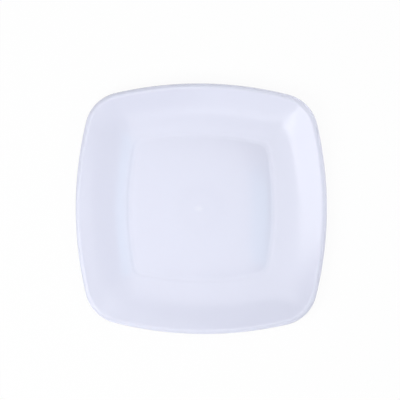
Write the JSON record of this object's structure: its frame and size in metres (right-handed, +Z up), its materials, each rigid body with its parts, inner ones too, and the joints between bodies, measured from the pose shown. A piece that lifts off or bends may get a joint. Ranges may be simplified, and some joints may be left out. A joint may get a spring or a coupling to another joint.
{
  "type": "plate",
  "caption": "Square dinner plate with bowed sides, round corners, a wall that grows steeper outwards, a rolled lip and a low-crowned panel, moulded in one piece of white plastic.",
  "frame": {"origin": "middle of the base, on the plane that the plate stands on", "axes": "+Z up, out of the well; +X and +Y each across the middle of two opposite sides"},
  "size_m": [0.23, 0.23, 0.015],
  "materials": {
    "plate_plastic": "satin gloss, cool white"
  },
  "bodies": {
    "root": {"plate": "plate_plastic"}
  },
  "joints": []
}
